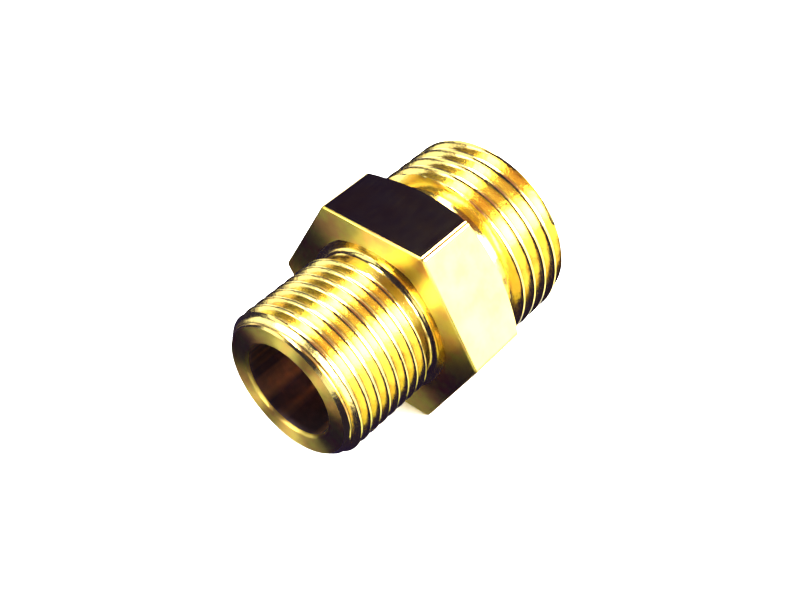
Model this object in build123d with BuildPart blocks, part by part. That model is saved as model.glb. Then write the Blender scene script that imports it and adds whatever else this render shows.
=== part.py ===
from build123d import *
from dataclasses import dataclass
from math import ceil, cos, pi, radians, sin, tan
import os

# Reducing hex nipple: one piece of hexagon brass bar, turned, bored and threaded at both ends.
# The nipple's axis is Y. The smaller thread points to -Y and the larger one to +Y.
# The origin is on the axis at the middle of the hexagon, and +Z is square to one wrench flat.

os.makedirs("parts", exist_ok=True)

# ---------------------------------------------------------------- driving dimensions, mm
across_flats = 22.0  # wrench size of the hexagon bar
bar_sides = 6
hex_length = 8.0  # hexagon along the axis
rear_chamfer_angle = 30.0  # turned chamfer on the corners that face the larger thread
rear_chamfer_inset = 0.6  # from a wrench flat in to the circle where that chamfer ends
edge_break = 0.15  # bevel on the sharp bar edges and on the hexagon's front face

small_length = 13.0  # hexagon's front face to the small end face
small_major = 16.662  # G 3/8 parallel pipe thread, crest diameter
small_threads_per_inch = 19
small_chamfer_length = 1.1  # lead-in chamfer along the axis
small_relief_width = 2.1  # thread relief beside the hexagon
small_tool_entry = 0.9  # the thread tool starts this far beyond the end face

large_length = 10.5
large_major = 20.955  # G 1/2 parallel pipe thread, crest diameter
large_threads_per_inch = 14
large_chamfer_length = 0.9
large_relief_width = 2.4
large_tool_entry = 0.94

thread_angle = 55.0  # included angle of the pipe thread
thread_truncation = 1 / 6  # share of the sharp V's height rounded off at crest and at root
relief_undercut = 0.1  # relief and end faces lie this far below the thread root
relief_wall_run = 0.5  # slope from the relief up to the first crest, along the axis
relief_fillet = 0.8  # root fillet where the relief meets the hexagon
tool_overshoot = 0.05  # how far the thread tool stands clear of the crests

bore_diameter = 10.6  # waterway right through
large_bore_diameter = 14.2  # wider waterway drilled from the large end
large_bore_depth = 9.0  # full diameter depth, from the large end face
drill_angle = 118.0  # point angle of the drill that makes the wider waterway
mouth_chamfer = 0.25  # bevel round both mouths
mouth_chamfer_angle = 90.0  # included angle of the countersink that cuts it


@dataclass
class ThreadedEnd:
    """One threaded end. Distances along it are counted from the hexagon's face outwards."""

    side: int  # -1 points to -Y, +1 points to +Y
    length: float
    major_diameter: float
    threads_per_inch: float
    chamfer_length: float
    relief_width: float
    tool_entry: float

    @property
    def pitch(self):
        return 1 * IN / self.threads_per_inch

    @property
    def sharp_height(self):
        """Height of the sharp V that the rounded thread form is drawn in."""
        return self.pitch / (2 * tan(radians(thread_angle / 2)))

    @property
    def crest_radius(self):
        return self.major_diameter / 2

    @property
    def root_radius(self):
        return self.crest_radius - self.sharp_height * (1 - 2 * thread_truncation)

    @property
    def nose_radius(self):
        """Tool nose that touches both flanks and the root."""
        half = radians(thread_angle / 2)
        return self.sharp_height * thread_truncation * sin(half) / (1 - sin(half))

    @property
    def low_radius(self):
        """Radius of the relief and of the end face's outer edge."""
        return self.root_radius - relief_undercut

    def station(self, distance):
        """Place on the Y axis, a distance out from the hexagon's face."""
        return self.side * (hex_length / 2 + distance)


small_end = ThreadedEnd(
    -1, small_length, small_major, small_threads_per_inch,
    small_chamfer_length, small_relief_width, small_tool_entry,
)
large_end = ThreadedEnd(
    1, large_length, large_major, large_threads_per_inch,
    large_chamfer_length, large_relief_width, large_tool_entry,
)
front_face_y = small_end.station(0)
rear_face_y = large_end.station(0)
small_face_y = small_end.station(small_end.length)
large_face_y = large_end.station(large_end.length)
flat_radius = across_flats / 2
corner_radius = flat_radius / cos(pi / bar_sides)

with BuildPart() as nipple_body:
    # Length of hexagon bar, with its long edges and its front face's edges broken.
    with BuildSketch(Plane.XZ.offset(-front_face_y)):
        RegularPolygon(radius=flat_radius, side_count=bar_sides, major_radius=False)
    extrude(amount=-hex_length)
    bar_edges = nipple_body.edges().filter_by(Axis.Y)
    front_edges = nipple_body.faces().sort_by(Axis.Y)[0].edges()
    chamfer(bar_edges + front_edges, length=edge_break)

    # Corners turned back to a cone on the rear side, so each flat ends there in an arc.
    cone_radius = flat_radius - rear_chamfer_inset
    cone_drop = (corner_radius - cone_radius) * tan(radians(rear_chamfer_angle))
    with BuildSketch(Plane.XY):
        with BuildLine():
            Polyline(
                (0, front_face_y),
                (corner_radius, front_face_y),
                (corner_radius, rear_face_y - cone_drop),
                (cone_radius, rear_face_y),
                (0, rear_face_y),
                close=True,
            )
        make_face()
    revolve(axis=Axis.Y, mode=Mode.INTERSECT)

    for end in (small_end, large_end):
        # Turned shank, standing on the hexagon's face: root fillet, relief, slope up to the
        # crests, lead-in chamfer.
        with BuildSketch(Plane.XY):
            with BuildLine():
                CenterArc(
                    (end.low_radius + relief_fillet, end.station(relief_fillet)),
                    relief_fillet, start_angle=180, arc_size=90 * end.side,
                )
                Polyline(
                    (end.low_radius, end.station(relief_fillet)),
                    (end.low_radius, end.station(end.relief_width - relief_wall_run)),
                    (end.crest_radius, end.station(end.relief_width)),
                    (end.crest_radius, end.station(end.length - end.chamfer_length)),
                    (end.low_radius, end.station(end.length)),
                    (0, end.station(end.length)),
                    (0, end.station(0)),
                    (end.low_radius + relief_fillet, end.station(0)),
                )
            make_face()
        revolve(axis=Axis.Y)

    for end in (small_end, large_end):
        # Right-hand thread, cut one turn at a time by a round-nosed V tool. It starts clear of
        # the end face and stops in the relief groove.
        tool_top = end.crest_radius + tool_overshoot
        tool_tip = end.root_radius - end.sharp_height * thread_truncation
        tool_half_width = (tool_top - tool_tip) * tan(radians(thread_angle / 2))
        start_height = -end.side  # the helix starts over the axis on one end, under it on the other
        travel = end.length + end.tool_entry - end.relief_width / 2
        for turn in range(ceil(travel / end.pitch)):
            turn_y = end.station(end.length + end.tool_entry - turn * end.pitch)
            turn_travel = min(end.pitch, travel - turn * end.pitch)
            with BuildLine() as tool_path:
                Helix(
                    end.pitch, turn_travel, end.crest_radius,
                    center=(0, turn_y, 0), direction=(0, -end.side, 0),
                )
            with BuildSketch(Plane.YZ) as tool_form:
                with BuildLine():
                    Polyline(
                        (turn_y - tool_half_width, start_height * tool_top),
                        (turn_y, start_height * tool_tip),
                        (turn_y + tool_half_width, start_height * tool_top),
                        close=True,
                    )
                make_face()
                tool_nose = tool_form.vertices().sort_by(lambda corner: abs(corner.Y))[0]
                fillet(tool_nose, radius=end.nose_radius)
            sweep(path=tool_path.line, is_frenet=True, mode=Mode.SUBTRACT)

    # Waterway: small bore right through, a wider one from the large end, a bevel round each mouth.
    small_mouth = Plane(origin=(0, small_face_y, 0), z_dir=(0, -1, 0))
    large_mouth = Plane(origin=(0, large_face_y, 0), z_dir=(0, 1, 0))
    with Locations(small_mouth):
        CounterSinkHole(
            bore_diameter / 2, bore_diameter / 2 + mouth_chamfer,
            counter_sink_angle=mouth_chamfer_angle,
        )
    with Locations(large_mouth):
        CounterSinkHole(
            large_bore_diameter / 2, large_bore_diameter / 2 + mouth_chamfer,
            depth=large_bore_depth, counter_sink_angle=mouth_chamfer_angle,
        )
    large_bore_end_y = large_face_y - large_bore_depth
    step_radius = large_bore_diameter / 2
    drill_point = (step_radius - bore_diameter / 2) / tan(radians(drill_angle / 2))
    with BuildSketch(Plane.XY):
        with BuildLine():
            Polyline(
                (0, large_bore_end_y),
                (step_radius, large_bore_end_y),
                (bore_diameter / 2, large_bore_end_y - drill_point),
                (0, large_bore_end_y - drill_point),
                close=True,
            )
        make_face()
    revolve(axis=Axis.Y, mode=Mode.SUBTRACT)

nipple_body.part.label = "nipple_body"
export_step(nipple_body.part, "parts/nipple_body.step")
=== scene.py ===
# %% [markdown]
# # A reducing hex nipple
# A hex nipple is a short brass pipe fitting. A male pipe thread stands on each end, and a hexagon in
# the middle takes the wrench. It is one piece: a length of hexagon bar, turned down, drilled and
# threaded, so this lesson builds one closed surface and spends its care on the finishes that each
# cutting tool leaves behind.

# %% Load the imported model
import bpy
import math
import numpy as np
from mathutils import Matrix, Vector
from mathutils.bvhtree import BVHTree


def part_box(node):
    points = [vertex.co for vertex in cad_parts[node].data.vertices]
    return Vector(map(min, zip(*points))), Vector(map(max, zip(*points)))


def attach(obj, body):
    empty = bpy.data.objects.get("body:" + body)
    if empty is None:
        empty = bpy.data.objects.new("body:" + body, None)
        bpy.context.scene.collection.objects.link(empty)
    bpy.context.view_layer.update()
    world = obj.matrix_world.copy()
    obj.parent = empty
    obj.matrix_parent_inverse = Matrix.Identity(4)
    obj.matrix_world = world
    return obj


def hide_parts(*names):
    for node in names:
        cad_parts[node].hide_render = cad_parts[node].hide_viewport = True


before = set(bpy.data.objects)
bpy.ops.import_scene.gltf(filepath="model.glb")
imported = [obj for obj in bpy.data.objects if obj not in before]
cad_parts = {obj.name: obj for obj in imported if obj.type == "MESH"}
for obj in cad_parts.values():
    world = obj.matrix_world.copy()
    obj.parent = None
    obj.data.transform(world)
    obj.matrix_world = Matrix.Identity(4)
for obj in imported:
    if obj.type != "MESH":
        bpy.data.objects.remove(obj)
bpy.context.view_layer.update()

# %% [markdown]
# ## Camera
# The part lies on one wrench flat. The camera looks down on its small end from the front right, with
# a slight roll, close enough for the near end to look larger. It could be placed by hand, but naming
# the two angles, the distance and the roll keeps it easy to change, and a matrix built from them
# needs no constraint.

# %% Place the camera
MM = 0.001
CAMERA_AZIMUTH = math.radians(42.6)  # round from the front towards the right
CAMERA_ELEVATION = math.radians(43.9)
CAMERA_ROLL = math.radians(-3.12)
CAMERA_DISTANCE = 117.2 * MM
CAMERA_SLIDE = (-0.27 * MM, -0.62 * MM)  # to the right, and up
CAMERA_LENS = 51.4  # on the usual 36 mm wide sensor


def camera_axes(azimuth, elevation, roll):
    """Right, up and backward directions of a camera. Backward points from the part to the camera; right
    is level; up is square to both. Roll then turns right and up about backward."""
    back = np.array([
        math.sin(azimuth) * math.cos(elevation),
        -math.cos(azimuth) * math.cos(elevation),
        math.sin(elevation),
    ])
    right = np.array([math.cos(azimuth), math.sin(azimuth), 0.0])
    up = np.cross(back, right)
    rolled_right = math.cos(roll) * right + math.sin(roll) * up
    rolled_up = -math.sin(roll) * right + math.cos(roll) * up
    place = back * CAMERA_DISTANCE + CAMERA_SLIDE[0] * right + CAMERA_SLIDE[1] * up
    return rolled_right, rolled_up, back, place


right, up, back, place = camera_axes(CAMERA_AZIMUTH, CAMERA_ELEVATION, CAMERA_ROLL)
camera_data = bpy.data.cameras.new("studio_camera")
camera_data.lens = CAMERA_LENS
camera_data.clip_start = 1 * MM
camera_data.clip_end = 20.0
camera = bpy.data.objects.new("studio_camera", camera_data)
bpy.context.scene.collection.objects.link(camera)
turn = Matrix((right, up, back)).transposed().to_4x4()
camera.matrix_world = Matrix.Translation(Vector(place)) @ turn
bpy.context.scene.camera = camera
print("camera at, mm", [round(v / MM, 1) for v in place])

# %% [markdown]
# ## Sizes
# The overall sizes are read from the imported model, so the surface can't drift away from it. The rest
# are the shop sizes of the fitting: both pipe threads are the parallel 55 degree form, G 3/8 with 19
# threads per inch and G 1/2 with 14.

# %% Sizes in millimetres
box_low, box_high = (np.array(corner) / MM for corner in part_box("nipple_body"))
SMALL_FACE_Y, LARGE_FACE_Y = box_low[1], box_high[1]
FLAT_RADIUS = box_high[2]  # half the wrench size
BROKEN_CORNER_RADIUS = box_high[0]  # out to the small flat on each bar edge
HEX_FRONT_Y, HEX_REAR_Y = -4.0, 4.0
HEX_SIDES = 6
EDGE_BREAK = 0.15
REAR_CONE_RADIUS = FLAT_RADIUS - 0.6
REAR_CONE_SLOPE = math.tan(math.radians(30))
BORE_RADIUS = 5.3
LARGE_BORE_RADIUS = 7.1
LARGE_BORE_DEPTH = 9.0
MOUTH_CHAMFER = 0.25
DRILL_HALF_ANGLE = math.radians(59)
FLANK_HALF_ANGLE = math.radians(27.5)
RELIEF_UNDERCUT, RELIEF_WALL_RUN, RELIEF_FILLET = 0.1, 0.5, 0.8
INCH = 25.4
TRUNCATION = 1 / 6  # share of the sharp V lost at crest and at root


def pipe_thread(side, major, per_inch, chamfer, relief, entry):
    """Sizes of one threaded end. The sharp V is the pitch over twice the tangent of the half angle
    high, and crest and root each lose a sixth of it."""
    pitch = INCH / per_inch
    sharp = pitch / (2 * math.tan(FLANK_HALF_ANGLE))
    crest, root = major / 2, major / 2 - sharp * (1 - 2 * TRUNCATION)
    nose = sharp * TRUNCATION * math.sin(FLANK_HALF_ANGLE) / (1 - math.sin(FLANK_HALF_ANGLE))
    hex_y = HEX_FRONT_Y if side < 0 else HEX_REAR_Y
    face_y = SMALL_FACE_Y if side < 0 else LARGE_FACE_Y
    return {
        "side": side, "pitch": pitch, "crest": crest, "root": root, "nose": nose,
        "low": root - RELIEF_UNDERCUT, "hex_y": hex_y, "face_y": face_y,
        "wall_y": hex_y + side * (relief - RELIEF_WALL_RUN), "first_crest_y": hex_y + side * relief,
        "chamfer_y": face_y - side * chamfer,
        "start_y": face_y + side * entry, "start_turn": 0.0 if side < 0 else 0.5,
    }


small = pipe_thread(side=-1, major=16.662, per_inch=19, chamfer=1.1, relief=2.1, entry=0.9)
large = pipe_thread(side=1, major=20.955, per_inch=14, chamfer=0.9, relief=2.4, entry=0.94)
print("small pitch and root", round(small["pitch"], 3), round(small["root"], 3))
print("large pitch and root", round(large["pitch"], 3), round(large["root"], 3))

# %% [markdown]
# ## Columns round the axis
# Every ring of the surface has the same columns, an even step round the axis. A bar edge is only a
# fraction of a millimetre wide, so a few more columns stand close on both sides of each corner. One
# list of angles for all rings means that the parts of the surface join point to point.

# %% Angles of the columns
EVEN_COLUMNS = 276
CORNER_ROUNDING = 0.02  # millimetres, where a flat meets the small flat of the broken edge
flat_half_width = math.atan(math.tan(math.pi / HEX_SIDES) - EDGE_BREAK / FLAT_RADIUS)
corner_half_width = math.pi / HEX_SIDES - flat_half_width
corners = (np.arange(HEX_SIDES) + 0.5) * 2 * math.pi / HEX_SIDES
beside = np.array([-1.0, -0.5, 0.5, 1.0]) * corner_half_width
angles = np.concatenate([
    np.arange(EVEN_COLUMNS) * 2 * math.pi / EVEN_COLUMNS,
    (corners[:, None] + beside).ravel(),
])
angles = np.append(np.unique(angles), 2 * math.pi)
print(len(angles) - 1, "columns, corner flat", round(math.degrees(2 * corner_half_width), 2), "degrees")


def soft_min(a, b, width):
    """The smaller of two values, rounded over a width where they cross: half of their sum, less half of
    the root of their difference squared plus the width squared."""
    return 0.5 * (a + b - np.sqrt((a - b) ** 2 + width ** 2))


def hexagon_radius(angle):
    """Distance from the axis to the hexagon's side: the flat's distance over the cosine of the angle
    from the flat's middle, cut off at each corner by the small flat of the broken edge."""
    sector = 2 * math.pi / HEX_SIDES
    from_flat = (angle + sector / 2) % sector - sector / 2
    from_corner = angle % sector - sector / 2
    side = FLAT_RADIUS / np.cos(from_flat)
    broken = BROKEN_CORNER_RADIUS / np.cos(from_corner)
    return soft_min(side, broken, CORNER_ROUNDING)


hexagon = hexagon_radius(angles)
print("hexagon radius from", round(hexagon.min(), 3), "to", round(hexagon.max(), 3))

# %% [markdown]
# ## Thread
# A thread is a groove that climbs one pitch in each turn. It could be swept as a tube and cut away,
# which is slow and leaves rough edges. Here the rows themselves climb with the thread: the row's
# place along the axis grows with the angle, so each row stays at one height of the thread form all
# the way round, and crest lines come out clean. Where the groove meets the lead-in chamfer and the
# relief, the surface is the lower of the two.

# %% Thread form
HALF_FORM = np.array([0.03, 0.075, 0.1218, 0.2, 0.27, 0.34, 0.4, 0.435, 0.465])
FORM_ROWS = np.concatenate([-HALF_FORM[::-1], HALF_FORM])  # across one groove, as shares of the pitch
EDGE_ROUNDING = 0.035
SPARE_TURNS = 1.5  # rows go this far past both ends of the thread before they are held at them


def groove_radius(end, share):
    """Radius of the thread form at a share of the pitch from the groove's middle: a round nose at the
    root, straight flanks, and the crest cylinder, with the crest's edges slightly rounded."""
    across = np.abs((share + 0.5) % 1.0 - 0.5) * end["pitch"]
    nose, root = end["nose"], end["root"]
    touch = nose * math.cos(FLANK_HALF_ANGLE)
    arc = root + nose - np.sqrt(np.maximum(nose ** 2 - np.minimum(across, touch) ** 2, 0))
    flank = np.maximum(across - touch, 0) / math.tan(FLANK_HALF_ANGLE)
    return soft_min(arc + flank, end["crest"] + 0 * across, EDGE_ROUNDING)


def blank_radius(end, y):
    """Radius of the turned blank before threading: low in the relief, a short slope up to the crests,
    and the lead-in chamfer down to the end face."""
    stations = [end["hex_y"], end["wall_y"], end["first_crest_y"], end["chamfer_y"], end["face_y"]]
    radii = [end["low"], end["low"], end["crest"], end["crest"], end["low"]]
    order = np.argsort(stations)
    return np.interp(y, np.array(stations)[order], np.array(radii)[order])


def thread_rows(end):
    """Rows of the threaded zone from the relief's wall to the end face. A row's place along the axis is
    the groove's middle plus a share of the pitch, plus one pitch for each turn, held between the zone's
    two ends; radius is the lower of the groove and the blank. Depth is how far the groove goes below
    the crest, as a share of its full depth."""
    low_y, high_y = sorted((end["wall_y"], end["face_y"]))
    first = (low_y - end["start_y"]) / end["pitch"] + end["start_turn"] - SPARE_TURNS
    last = (high_y - end["start_y"]) / end["pitch"] + end["start_turn"] + SPARE_TURNS
    turns = np.arange(math.floor(first), math.ceil(last) + 1)
    shares = (turns[:, None] + FORM_ROWS).ravel()
    middle = end["start_y"] + (angles / (2 * math.pi) - end["start_turn"]) * end["pitch"]
    y = np.clip(middle + shares[:, None] * end["pitch"], low_y, high_y)
    share = (y - middle) / end["pitch"]
    blank = blank_radius(end, y)
    radius = np.minimum(groove_radius(end, share), blank)
    depth = (end["crest"] - radius) / (end["crest"] - end["root"]) * (blank > radius)
    keep = (y > low_y).any(axis=1) & (y < high_y).any(axis=1)
    inner = np.flatnonzero(keep)
    chosen = slice(max(inner[0] - 1, 0), inner[-1] + 2)
    return y[chosen], radius[chosen], depth[chosen]


small_rows = thread_rows(small)
large_rows = thread_rows(large)
print("thread rows", small_rows[0].shape, large_rows[0].shape)

# %% [markdown]
# ## The other surfaces
# Everything else is a line turned round the axis: end faces, bores, relief grooves and their root
# fillets. A lathe profile and a Screw modifier would draw them too, but rows on the same columns
# as the threads join to them point to point. The hexagon is a line carried round its six sides, and
# its rear corners are turned back to a cone, so each flat ends there in an arc.

# %% Helpers for turned lines
def turned(points):
    """Rows of place and of radius from a list of (place along the axis, radius) pairs: each pair is
    repeated once for every column."""
    line = np.array(points, float)
    return tuple(np.repeat(line[:, k:k + 1], len(angles), axis=1) for k in (0, 1))


def steps(start, stop, count):
    """Points evenly spaced on the straight line between two (place, radius) pairs, both included."""
    share = np.linspace(0, 1, count)[:, None]
    return (np.array(start) * (1 - share) + np.array(stop) * share).tolist()


def root_fillet(end, count=7):
    """Quarter circle between the relief and the hexagon's face: its centre stands a fillet radius out
    from both."""
    swing = np.linspace(0, math.pi / 2, count)
    y = end["hex_y"] + end["side"] * RELIEF_FILLET * (1 - np.cos(swing))
    radius = end["low"] + RELIEF_FILLET * (1 - np.sin(swing))
    return np.stack([y, radius], 1).tolist()


def eased(start, corner, stop, ease):
    """A corner of a turned line taken off by a small arc, so that it catches the light: three points on
    the curve from one side of the corner to the other."""
    corner = np.array(corner, float)
    towards = [np.array(p, float) - corner for p in (start, stop)]
    before, after = [corner + ease * v / np.linalg.norm(v) for v in towards]
    middle = (before + after + 2 * corner) / 4
    return [before.tolist(), middle.tolist(), after.tolist()]


print("root fillet has", len(root_fillet(small)), "points")

# %% Lines of the bore and both end faces
EASE = 0.05
drill_depth = (LARGE_BORE_RADIUS - BORE_RADIUS) / math.tan(DRILL_HALF_ANGLE)
step_y = LARGE_FACE_Y - LARGE_BORE_DEPTH
small_edge = (SMALL_FACE_Y, small["low"])
small_rim = (SMALL_FACE_Y, BORE_RADIUS + MOUTH_CHAMFER)
small_bore = (SMALL_FACE_Y + MOUTH_CHAMFER, BORE_RADIUS)
step_inner = (step_y - drill_depth, BORE_RADIUS)
step_outer = (step_y, LARGE_BORE_RADIUS)
large_bore = (LARGE_FACE_Y - MOUTH_CHAMFER, LARGE_BORE_RADIUS)
large_rim = (LARGE_FACE_Y, LARGE_BORE_RADIUS + MOUTH_CHAMFER)
large_edge = (LARGE_FACE_Y, large["low"])

small_face_line = steps(small_edge, small_rim, 6)[1:-1]
small_face_line += eased(small_edge, small_rim, small_bore, EASE)
small_face_line += eased(small_rim, small_bore, step_inner, EASE)
bore_line = steps(small_bore, step_inner, 12)[1:-1]
bore_line += eased(small_bore, step_inner, step_outer, EASE)
bore_line += steps(step_inner, step_outer, 4)[1:-1]
bore_line += eased(step_inner, step_outer, large_bore, EASE)
bore_line += steps(step_outer, large_bore, 6)[1:-1]
large_face_line = eased(step_outer, large_bore, large_rim, EASE)
large_face_line += eased(large_bore, large_rim, large_edge, EASE)
large_face_line += steps(large_rim, large_edge, 6)[1:-1]
print("bore line has", len(bore_line), "points, step at", round(step_y, 3))


# %% Hexagon rows
FACE_ROWS, FLAT_ROWS = 5, 6  # evenly spaced rows on the front face, and on the flats
NEAR_BEVEL, INSIDE_BEVEL = 0.04, 0.08  # two support rows beside the broken edge
BEVEL_RISE, BEVEL_RUN = 0.015, 0.02  # first point round each corner of the broken edge
NEAR_CUT, INSIDE_CUT = 0.05, 0.09  # two support rows before the cone's cut
PAST_CUT, CUT_DROP = 0.005, 0.012  # first point past the cut: along the axis, and towards it
CONE_SHARES = (0.08, 0.35, 0.65, 0.92)  # from the flat down to the cone's small circle
NEAR_CONE, INSIDE_CONE = 0.02, 0.06  # two support rows inside the cone's small circle


def hexagon_rows():
    """Rows over the hexagon from its front face to its rear one. On the front face a row runs between
    the root fillet and the hexagon's outline; on the sides it runs from the broken front edge to the
    place where the rear cone cuts the side; on the cone it runs down to the cone's small circle.
    Support rows stand just inside each flat or face, so that its shading stays flat up to the bevel.
    Also gives the first row of the flats and the first row past them."""
    front_in = small["low"] + RELIEF_FILLET
    rear_in = large["low"] + RELIEF_FILLET
    edge = hexagon - EDGE_BREAK
    bevel_end_y = HEX_FRONT_Y + EDGE_BREAK
    rows_y, rows_r = [], []

    def add(y, radius):
        rows_y.append(y + 0 * angles)
        rows_r.append(radius + 0 * angles)

    for share in np.linspace(0, 1, FACE_ROWS + 2)[1:-1]:
        add(HEX_FRONT_Y, front_in + share * (edge - front_in))
    add(HEX_FRONT_Y, edge - INSIDE_BEVEL)
    add(HEX_FRONT_Y, edge - NEAR_BEVEL)
    add(HEX_FRONT_Y + BEVEL_RISE, edge + BEVEL_RUN)
    add(bevel_end_y - BEVEL_RUN, hexagon - BEVEL_RISE)
    flat_start = len(rows_y)
    add(bevel_end_y + NEAR_BEVEL, hexagon)
    start_y = bevel_end_y + INSIDE_BEVEL
    add(start_y, hexagon)
    cut_y = HEX_REAR_Y - np.maximum(hexagon - REAR_CONE_RADIUS, 0) * REAR_CONE_SLOPE
    for share in np.linspace(0, 1, FLAT_ROWS + 2)[1:-1]:
        add(start_y + share * (cut_y - INSIDE_CUT - start_y), hexagon)
    add(cut_y - INSIDE_CUT, hexagon)
    add(cut_y - NEAR_CUT, hexagon)
    flat_stop = len(rows_y)
    add(cut_y + PAST_CUT, hexagon - CUT_DROP)
    for share in CONE_SHARES:
        radius = hexagon + share * (REAR_CONE_RADIUS - hexagon)
        add(HEX_REAR_Y - (radius - REAR_CONE_RADIUS) * REAR_CONE_SLOPE, radius)
    add(HEX_REAR_Y, REAR_CONE_RADIUS - NEAR_CONE)
    add(HEX_REAR_Y, REAR_CONE_RADIUS - INSIDE_CONE)
    add(HEX_REAR_Y, (REAR_CONE_RADIUS + rear_in) / 2)
    return np.array(rows_y), np.array(rows_r), flat_start, flat_stop


hex_y, hex_r, flat_start, flat_stop = hexagon_rows()
print("hexagon rows", hex_y.shape, "flats from row", flat_start, "up to", flat_stop)

# %% [markdown]
# ## One closed surface
# The zones follow each other round the part's section: out over the small end face, along the small
# thread, over the hexagon, along the large thread, over the large end face and back through the
# bore. The last row is the first one again, so the surface closes on itself like a ring. Points that
# coincide are merged, and faces with no area are dropped.

# %% Join the zones
fillet_small = turned(root_fillet(small)[::-1])
fillet_large = turned(root_fillet(large))
FACED, THREADED, DRAWN, BORED = range(4)  # the order in which the materials are added further down
zones = [
    (FACED, turned(small_face_line[::-1])),
    (THREADED, small_rows),
    (THREADED, fillet_small),
    (FACED, (hex_y[:flat_start], hex_r[:flat_start])),
    (DRAWN, (hex_y[flat_start:flat_stop], hex_r[flat_start:flat_stop])),
    (FACED, (hex_y[flat_stop:], hex_r[flat_stop:])),
    (THREADED, fillet_large),
    (THREADED, large_rows),
    (FACED, turned(large_face_line[::-1])),
    (BORED, turned(bore_line[::-1])),
]
MERGE_STEP = 2e-5  # millimetres
GRID_SHIFT = 0.2371  # keeps points that lie on round numbers away from the edge of a grid cell


def closed_mesh(name, zones):
    """A mesh from zones of rows. A point is at the radius times the sine and cosine of its angle, square
    to the axis. Each row is joined to the next, and the last one to the first, and the quads between
    two rows take the finish of the first of them. Points in the same cell of a fine grid are merged."""
    y = np.concatenate([zone[0] for _, zone in zones])
    depth = np.concatenate([zone[2] if len(zone) > 2 else 0 * zone[0] for _, zone in zones])
    radius = np.concatenate([zone[1] for _, zone in zones])
    finish = np.concatenate([np.full(len(zone[0]), kind) for kind, zone in zones])
    points = np.stack([radius * np.sin(angles), y, radius * np.cos(angles)], -1)
    rows, columns = y.shape
    index = np.arange(rows * columns).reshape(rows, columns)
    here, after = index, np.roll(index, -1, axis=0)
    quads = np.stack([here[:, :-1], after[:, :-1], after[:, 1:], here[:, 1:]], -1).reshape(-1, 4)
    kinds = np.repeat(finish, columns - 1)
    grid = np.round(points.reshape(-1, 3) / MERGE_STEP + GRID_SHIFT).astype(np.int64)
    _, first, merged = np.unique(grid, axis=0, return_index=True, return_inverse=True)
    triangles = np.concatenate([quads[:, [2, 1, 0]], quads[:, [3, 2, 0]]])
    kinds = np.concatenate([kinds, kinds])
    triangles = merged.ravel()[triangles]
    whole = (
        (triangles[:, 0] != triangles[:, 1])
        & (triangles[:, 1] != triangles[:, 2])
        & (triangles[:, 2] != triangles[:, 0])
    )
    triangles, kinds = triangles[whole], kinds[whole]
    mesh = bpy.data.meshes.new(name)
    mesh.from_pydata((points.reshape(-1, 3)[first] * MM).tolist(), [], triangles.tolist())
    mesh.polygons.foreach_set("material_index", kinds.astype(np.int32))
    groove = mesh.attributes.new("groove_depth", "FLOAT", "POINT")
    groove.data.foreach_set("value", np.clip(depth.ravel()[first], 0, 1).astype(np.float32))
    return mesh, triangles


body_mesh, body_triangles = closed_mesh("hex_nipple_body", zones)
body = bpy.data.objects.new("hex_nipple_body", body_mesh)
bpy.context.scene.collection.objects.link(body)
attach(body, "root")
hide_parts("nipple_body")
print(len(body_mesh.vertices), "points,", len(body_mesh.polygons), "triangles")


# %% [markdown]
# ## Measures and smooth shading
# A picture may not show a hole or a face that points inwards, so the edges are counted and the signed
# volume is worked out. Smooth shading with sharp edges marked by angle keeps the turned surfaces
# round and the bevels crisp, where a Bevel modifier would add many more faces.

# %% Measure the surface
SHARP_ANGLE = math.radians(38)
SAMPLE_EVERY = 97  # one point in this many is measured against the CAD solid


def closure(triangles):
    """Counts of edges used once, twice and more: in a closed surface all are used twice, once each way.
    Then the signed edges that have no partner running the other way."""
    ends = np.concatenate([triangles[:, [0, 1]], triangles[:, [1, 2]], triangles[:, [2, 0]]])
    _, uses = np.unique(np.sort(ends, axis=1), axis=0, return_counts=True)
    forward = {tuple(e) for e in ends.tolist()}
    lone = sum((b, a) not in forward for a, b in forward)
    return (uses == 1).sum(), (uses == 2).sum(), (uses > 2).sum(), lone


def signed_volume(mesh, triangles):
    """Volume in cubic millimetres: a sixth of the sum of each triangle's box product with the origin.
    It is positive when the faces point outwards."""
    co = np.empty(len(mesh.vertices) * 3)
    mesh.vertices.foreach_get("co", co)
    a, b, c = (co.reshape(-1, 3)[triangles[:, k]] / MM for k in range(3))
    return float((a * np.cross(b, c)).sum() / 6)


print("edges used once, twice, more; lone", closure(body_triangles))
print("volume", round(signed_volume(body_mesh, body_triangles), 1), "cubic mm")
body_mesh.validate(verbose=True)
body_mesh.polygons.foreach_set("use_smooth", np.ones(len(body_mesh.polygons), bool))
body_mesh.set_sharp_from_angle(angle=SHARP_ANGLE)
cad_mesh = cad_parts["nipple_body"].data
tree = BVHTree.FromPolygons([v.co for v in cad_mesh.vertices], [p.vertices for p in cad_mesh.polygons])
sampled = range(0, len(body_mesh.vertices), SAMPLE_EVERY)
gaps = [tree.find_nearest(body_mesh.vertices[k].co)[3] / MM for k in sampled]
print("distance to the CAD solid, mm: mean", round(float(np.mean(gaps)), 4), "most", round(max(gaps), 4))
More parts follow.
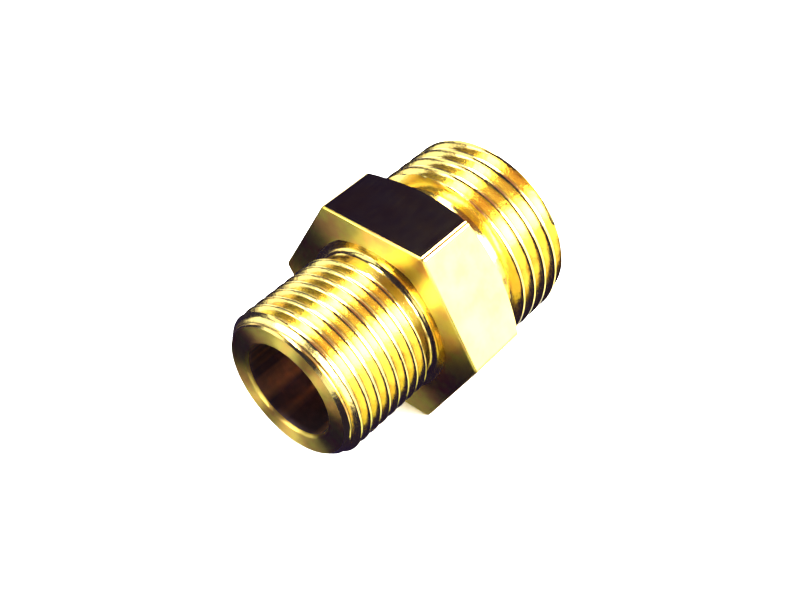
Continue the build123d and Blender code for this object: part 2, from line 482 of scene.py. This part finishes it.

# %% [markdown]
# ## Brass and its finishes
# The part is bright yellow brass all over, but each tool leaves its own finish: the thread tool's
# fine lines along the groove, the facing tool's rings, the long faint scratches of drawn bar on the
# wrench flats, and the drill's rings inside. Painted images could show these, but patterns
# worked out from the place on the part stay sharp at any size, need no unwrapping and never repeat.
# The threads and the flats share one brass, with painted shade in the thread roots. The turned faces
# have olive and rust tints painted over it for the colours of dark reflections, and the bore has two
# darker tints of its own, painted shade and painted copper highlights. All four differ in pattern,
# roughness and bump.

# %% Node helpers
LEMON_BRASS = (0.84, 0.70, 0.21, 1)
WARM_BRASS = (0.85, 0.60, 0.16, 1)
# a dark tint: tarnish on the faces and flats, painted shade in the thread roots
TARNISH_AND_SHADE = (0.32, 0.12, 0.06, 1)
# olive and rust tints painted on the turned faces for the colours of dark reflections
OLIVE_REFLECTION_TINT = (0.76, 0.64, 0.09, 1)
ORANGE_REFLECTION_TINT = (0.78, 0.42, 0.09, 1)
# painted shade inside the bore, and painted copper highlights on it
BORE_SHADE = (0.22, 0.15, 0.16, 1)
BORE_COPPER_HIGHLIGHT = (0.72, 0.44, 0.25, 1)
NOISE_LOW, NOISE_HIGH = 0.3, 0.7  # most of a noise pattern lies between these
QUARTER_TURN = 0.25


class Finish:
    """A metal material under construction. Its patterns read the place on the part in millimetres, the
    distance along the axis, and the distance from it: the length of the place with its along part
    taken out."""

    def __init__(self, name):
        self.material = bpy.data.materials.new(name)
        self.material.use_nodes = True
        self.tree = self.material.node_tree
        self.shader = self.tree.nodes["Principled BSDF"]
        self.shader.inputs["Metallic"].default_value = 1.0
        place = self.add("ShaderNodeTexCoord").outputs["Object"]
        scale = self.add("ShaderNodeMapping", {"Vector": place, "Scale": (1 / MM,) * 3})
        self.place = scale.outputs[0]
        split = self.add("ShaderNodeSeparateXYZ", {0: self.place})
        self.along = split.outputs[1]
        flat = self.add("ShaderNodeCombineXYZ", {0: split.outputs[0], 2: split.outputs[2]})
        length = self.add("ShaderNodeVectorMath", {0: flat.outputs[0]}, operation="LENGTH")
        self.from_axis = length.outputs[1]

    def add(self, kind, inputs=None, **settings):
        """A new node with its settings, and its inputs linked or given a value."""
        node = self.tree.nodes.new(kind)
        for key, value in settings.items():
            setattr(node, key, value)
        for key, value in (inputs or {}).items():
            if isinstance(value, bpy.types.NodeSocket):
                self.tree.links.new(value, node.inputs[key])
            else:
                node.inputs[key].default_value = value
        return node

    def math(self, operation, a, b=0.0):
        """Two values put together by the named operation."""
        return self.add("ShaderNodeMath", {0: a, 1: b}, operation=operation).outputs[0]

    def noise(self, vector, scale, detail=3.0):
        """Soft noise from 0 to 1; scale is about how many blotches fit in a millimetre."""
        node = self.add("ShaderNodeTexNoise", {"Vector": vector, "Scale": scale, "Detail": detail})
        return node.outputs[0]

    def remap(self, value, low, high, to_low, to_high):
        """A value moved in proportion from one range to another, and held at its ends."""
        inputs = {0: value, 1: low, 2: high, 3: to_low, 4: to_high}
        return self.add("ShaderNodeMapRange", inputs, clamp=True).outputs[0]

    def mix(self, share, first, second):
        """A colour between two colours, which are inputs 6 and 7 of a Mix node."""
        return self.add("ShaderNodeMix", {0: share, 6: first, 7: second}, data_type="RGBA").outputs[2]

    def rings(self, scale, waver=0.02):
        """Noise that depends only on the distance from the axis and along it, so it draws rings round
        the axis on any turned surface, each ring wavering a little."""
        drift = self.math("MULTIPLY", self.noise(self.place, 0.9), waver)
        radius = self.math("ADD", self.from_axis, drift)
        along = self.math("ADD", self.along, drift)
        ring = self.add("ShaderNodeCombineXYZ", {0: radius, 1: along})
        return self.noise(ring.outputs[0], scale)

    def bump(self, height, depth_mm):
        """Chained bumps: each new one starts from the normal of the one before."""
        inputs = {"Height": height, "Distance": depth_mm * MM, "Strength": 1.0}
        before = self.shader.inputs["Normal"].links
        if before:
            inputs["Normal"] = before[0].from_socket
        node = self.add("ShaderNodeBump", inputs)
        self.tree.links.new(node.outputs[0], self.shader.inputs["Normal"])

    def colour(self, socket):
        """Uses a pattern as the metal's colour."""
        self.tree.links.new(socket, self.shader.inputs["Base Color"])

    def roughness(self, socket):
        """Uses a pattern as the metal's roughness."""
        self.tree.links.new(socket, self.shader.inputs["Roughness"])

    def brushed_round_axis(self, amount):
        """Stretches reflections across the rings, as fine turning marks do: the tangent runs round the
        axis, and a quarter turn lays the stretch square to it."""
        tangent = self.add("ShaderNodeTangent", direction_type="RADIAL", axis="Y")
        self.tree.links.new(tangent.outputs[0], self.shader.inputs["Tangent"])
        self.shader.inputs["Anisotropic"].default_value = amount
        self.shader.inputs["Anisotropic Rotation"].default_value = QUARTER_TURN

    def brass(self, dark_share):
        """The shared metal: two tints of brass in soft clouds, and a dark tint where the share says:
        tarnish on the faces and flats, painted shade in the thread roots.
        """
        cloud = self.remap(self.noise(self.place, 0.35), 0.35, 0.65, 0.0, 1.0)
        return self.mix(dark_share, self.mix(cloud, LEMON_BRASS, WARM_BRASS), TARNISH_AND_SHADE)


print("brass tints", LEMON_BRASS[:3], WARM_BRASS[:3])

# %% [markdown]
# ## Thread finish
# A thread tool burnishes the flanks and leaves hair lines along the groove. The root is painted darker,
# as painted shade down in the groove, and the crests stay bright, so the finish reads a depth that the
# mesh carries at every point, 0 at the crest and 1 at the root. The lead-in chamfers, the reliefs and
# the root fillets share this finish.

# %% Threaded brass
def threaded_brass():
    """Painted shade in the root: the share of the dark tint is three quarters of the cube of the
    groove's depth times a patchy noise. Roughness follows fine rings and rises with the cube of the
    depth. The bumps are the rings and a slow waviness."""
    finish = Finish("threaded_brass")
    depth = finish.add("ShaderNodeAttribute", attribute_name="groove_depth").outputs["Fac"]
    patches = finish.remap(finish.noise(finish.place, 1.1, 5.0), 0.4, 0.7, 0.15, 1.0)
    deep = finish.math("POWER", depth, 3.0)
    # painted shade: the dark tint deepens towards the thread root, in patches
    dark_share = finish.math("MULTIPLY", finish.math("MULTIPLY", deep, patches), 0.75)
    finish.colour(finish.brass(dark_share))
    lines = finish.rings(22.0)
    rough = finish.remap(lines, NOISE_LOW, NOISE_HIGH, 0.13, 0.22)
    finish.roughness(finish.math("ADD", rough, finish.math("MULTIPLY", deep, 0.12)))
    finish.bump(lines, 0.003)
    finish.bump(finish.noise(finish.place, 1.6, 2.0), 0.02)
    return finish.material


# %% [markdown]
# ## Faced finish
# The end faces, the mouth bevels, and the hexagon's front and rear faces with their bevels are
# turned with a pointed tool, so they carry fine rings. Rings stretch a reflection across themselves,
# which gives the fan of light and dark sectors that a faced brass surface shows. A bump alone would
# need rings too fine for any picture, so the shader's anisotropy does the stretching and the bump
# only breaks it up.

# %% Faced brass
def faced_brass():
    """Colour is one part of smudged brass to three parts of a painted reflection tint, olive or
    rust-coloured by a slow noise.
    Roughness and a very low bump follow fine rings."""
    finish = Finish("faced_brass")
    smudges = finish.remap(finish.noise(finish.place, 0.8, 4.0), 0.45, 0.7, 0.05, 0.35)
    # painted reflection: olive and rust tints for the colours the faces take in dark reflections
    orange_share = finish.remap(finish.noise(finish.place, 0.3), 0.42, 0.62, 0.0, 1.0)
    reflection_tint = finish.mix(orange_share, OLIVE_REFLECTION_TINT, ORANGE_REFLECTION_TINT)
    finish.colour(finish.mix(0.75, finish.brass(smudges), reflection_tint))
    lines = finish.rings(16.0)
    finish.roughness(finish.remap(lines, NOISE_LOW, NOISE_HIGH, 0.3, 0.38))
    finish.bump(lines, 0.002)
    finish.brushed_round_axis(0.95)
    return finish.material


# %% [markdown]
# ## Wrench flats
# The flats are the skin of the drawn bar, almost a mirror, with faint scratches along the bar and a
# slight cloudiness from handling. Scratches could be cut as geometry, but they are far shallower than
# any mesh could follow here, so a noise stretched along the bar drives the roughness and a very low
# bump instead.

# %% Drawn flat brass
def drawn_flat_brass():
    """Roughness and a fine bump follow noise stretched along the axis, and the tarnish and a slow bump
    follow soft clouds."""
    finish = Finish("drawn_flat_brass")
    stretched = finish.add("ShaderNodeMapping", {"Vector": finish.place, "Scale": (9.0, 0.35, 9.0)})
    scratches = finish.noise(stretched.outputs[0], 1.0, 4.0)
    clouds = finish.noise(finish.place, 0.5, 4.0)
    finish.colour(finish.brass(finish.remap(clouds, 0.5, 0.8, 0.0, 0.12)))
    finish.roughness(finish.remap(scratches, 0.35, 0.7, 0.04, 0.08))
    finish.bump(scratches, 0.0012)
    finish.bump(clouds, 0.003)
    return finish.material


# %% [markdown]
# ## Bore
# A drill leaves a rougher wall, with rings and a few lengthwise drags. It is painted darker than the
# outside, as shade inside the hole, and copper bands along the drags are painted copper highlights, so
# it has two darker tints of its own.

# %% Bored brass
def bored_brass():
    """Painted copper highlights in bands along the axis, over painted shade: the bands come from noise
    drawn out to about thirty times its width, and rings from noise of the radius and the distance along
    the axis."""
    finish = Finish("bored_brass")
    drags = finish.add("ShaderNodeMapping", {"Vector": finish.place, "Scale": (0.42, 0.015, 0.42)})
    # painted shade with painted copper highlights in lengthwise bands
    copper_highlight_bands = finish.remap(finish.noise(drags.outputs[0], 1.0, 2.0), 0.45, 0.68, 0.0, 1.0)
    finish.colour(finish.mix(copper_highlight_bands, BORE_SHADE, BORE_COPPER_HIGHLIGHT))
    lines = finish.rings(5.0, 0.3)
    finish.roughness(finish.remap(lines, NOISE_LOW, NOISE_HIGH, 0.34, 0.5))
    finish.bump(lines, 0.012)
    return finish.material


# %% [markdown]
# ## Finishes on the body
# Each face of the mesh holds the number of its finish, and the materials are added in that order. A
# separate object for each finish would open seams in a surface that has none.

# %% Give the body its finishes
for make in (faced_brass, threaded_brass, drawn_flat_brass, bored_brass):
    material = make()
    body_mesh.materials.append(material)
    print(material.name, len(material.node_tree.nodes), "nodes")

# %% [markdown]
# ## Floor
# The floor is a plain pale sheet at the height of the lowest flat. It takes the part's soft shadow.
# It is kept out of reflections, so that the metal shows the lights and the dark between them, and it
# casts no shadow, so that a light may stand lower than it.

# %% Pale floor
FLOOR_REACH = 3.0  # metres, to each side
FLOOR_GREY = 0.93
floor_z = box_low[2] * MM
corners_xy = np.array([(-1, -1), (1, -1), (1, 1), (-1, 1)]) * FLOOR_REACH
floor_mesh = bpy.data.meshes.new("floor")
floor_mesh.from_pydata([(x, y, floor_z) for x, y in corners_xy.tolist()], [], [(0, 1, 2, 3)])
floor = bpy.data.objects.new("floor", floor_mesh)
bpy.context.scene.collection.objects.link(floor)
floor_material = bpy.data.materials.new("pale_floor")
floor_material.use_nodes = True
floor_shader = floor_material.node_tree.nodes["Principled BSDF"]
floor_shader.inputs["Base Color"].default_value = (FLOOR_GREY, FLOOR_GREY, FLOOR_GREY, 1)
floor_shader.inputs["Roughness"].default_value = 0.9
floor_shader.inputs["Specular IOR Level"].default_value = 0.0
floor_mesh.materials.append(floor_material)
floor.visible_glossy = False
floor.visible_shadow = False
print("floor at", round(floor_z / MM, 2), "mm")

# %% [markdown]
# ## Lights
# Polished metal shows its surroundings more than its own colour, so each light is placed by what it
# is seen in. Lights placed by their angle round the axis show in the crests, in the flats and, after
# two bounces, in the thread flanks. Lights placed from the front show in the faces that look
# forwards. An overhead strip and a tall right softbox light the threads. From the camera the top
# flat mirrors the dark left of the strip, and the right flat mirrors the weaker softbox below the
# tall one. Small lights in front make the bright sectors of the turned faces, and dim fills lift
# some of the sides that the camera doesn't see.

# %% Softboxes
LIGHT_DISTANCE = 0.8  # metres


def round_axis(around, lean):
    """Direction at an angle about the part's axis, from straight up towards the right, that leans
    towards the rear: cosine of the lean times the circle's direction, plus its sine along the axis.
    Also gives the direction across it, square to the axis."""
    around, lean = math.radians(around), math.radians(lean)
    level = math.cos(lean)
    towards = Vector((level * math.sin(around), math.sin(lean), level * math.cos(around)))
    return towards, Vector((math.cos(around), 0, -math.sin(around)))


def from_front(azimuth, elevation):
    """Direction seen from the small end: azimuth turns it towards the right, and elevation lifts it
    above the axis. Also gives the level direction across it."""
    azimuth, elevation = math.radians(azimuth), math.radians(elevation)
    level = math.cos(elevation)
    towards = Vector((level * math.sin(azimuth), -level * math.cos(azimuth), math.sin(elevation)))
    return towards, Vector((math.cos(azimuth), math.sin(azimuth), 0))


def softbox(name, place, width, length, strength, colour=(1.0, 1.0, 1.0)):
    """A rectangular light that faces the part. Its sides are twice the distance times the tangent of
    half the angle that it fills, in degrees. Its power is the strength, which is how bright its face
    looks, times its area times pi."""
    towards, across = place
    data = bpy.data.lights.new(name, "AREA")
    data.shape = "RECTANGLE"
    data.size = 2 * LIGHT_DISTANCE * math.tan(math.radians(width) / 2)
    data.size_y = 2 * LIGHT_DISTANCE * math.tan(math.radians(length) / 2)
    data.energy = strength * data.size * data.size_y * math.pi
    data.color = colour
    lamp = bpy.data.objects.new(name, data)
    bpy.context.scene.collection.objects.link(lamp)
    turn = Matrix((across, towards.cross(across), towards)).transposed().to_4x4()
    lamp.matrix_world = Matrix.Translation(towards * LIGHT_DISTANCE) @ turn
    print(name, "size", round(data.size, 2), "by", round(data.size_y, 2), "m")


softbox("overhead_strip", round_axis(-17, 24), 17, 60, 36.0)
softbox("right_softbox", round_axis(59, 30), 29, 60, 34.0)
softbox("right_lower_softbox", round_axis(92, 30), 24, 60, 3.6)
softbox("right_low_fill", round_axis(122, 25), 26, 60, 2.5)
softbox("left_fill", round_axis(-84, 25), 22, 60, 2.5)
softbox("warm_card", round_axis(19, 30), 34, 50, 0.35, (1.0, 0.22, 0.12))
softbox("front_left_softbox", from_front(-27, 4), 18, 20, 12.0)
softbox("front_far_left_fill", from_front(-50, -8), 22, 26, 2.0)
softbox("under_fill", round_axis(150, 25), 28, 60, 1.5, (0.95, 1.0, 0.5))
softbox("front_softbox", from_front(3, -7), 11, 14, 20.0)
softbox("front_low_softbox", from_front(11, -24), 14, 18, 4.0)
softbox("left_front_fill", from_front(-48, 32), 30, 30, 2.0)
softbox("right_front_fill", from_front(45, 15), 30, 30, 1.6)
softbox("rear_low_fill", round_axis(178, 48), 40, 30, 1.2)
softbox("face_left_softbox", from_front(-28, -18), 8, 9, 2.2)
softbox("face_warm_softbox", from_front(-17, -21), 6, 8, 1.2, (1.0, 0.25, 0.08))
softbox("face_right_softbox", from_front(-11, -26), 6, 7, 2.8)
softbox("face_low_fill", from_front(-8, -38), 9, 9, 1.5, (0.9, 1.0, 0.5))

# %% [markdown]
# ## Studio walls
# The backdrop is white and also lights the floor. Metal in a white room would look flat and pale, so
# reflections see dark walls with a violet cast instead. Black cards round the part would do the same,
# but they would have to stay out of the picture from every side. The Standard view shows the
# backdrop as plain white, where the film-like ones would grey it.

# %% Studio walls
BACKDROP = (1.0, 1.0, 1.0, 1)
DARK_WALL = (0.016, 0.010, 0.08, 1)
world = bpy.data.worlds.new("studio")
bpy.context.scene.world = world
world.use_nodes = True
world_nodes, world_links = world.node_tree.nodes, world.node_tree.links
path = world_nodes.new("ShaderNodeLightPath")
walls = world_nodes.new("ShaderNodeMix")
walls.data_type = "RGBA"
walls.inputs[6].default_value = BACKDROP
walls.inputs[7].default_value = DARK_WALL
world_links.new(path.outputs["Is Glossy Ray"], walls.inputs[0])
world_links.new(walls.outputs[2], world_nodes["Background"].inputs["Color"])
bpy.context.scene.view_settings.view_transform = "Standard"
print("walls in reflections", DARK_WALL[:3])
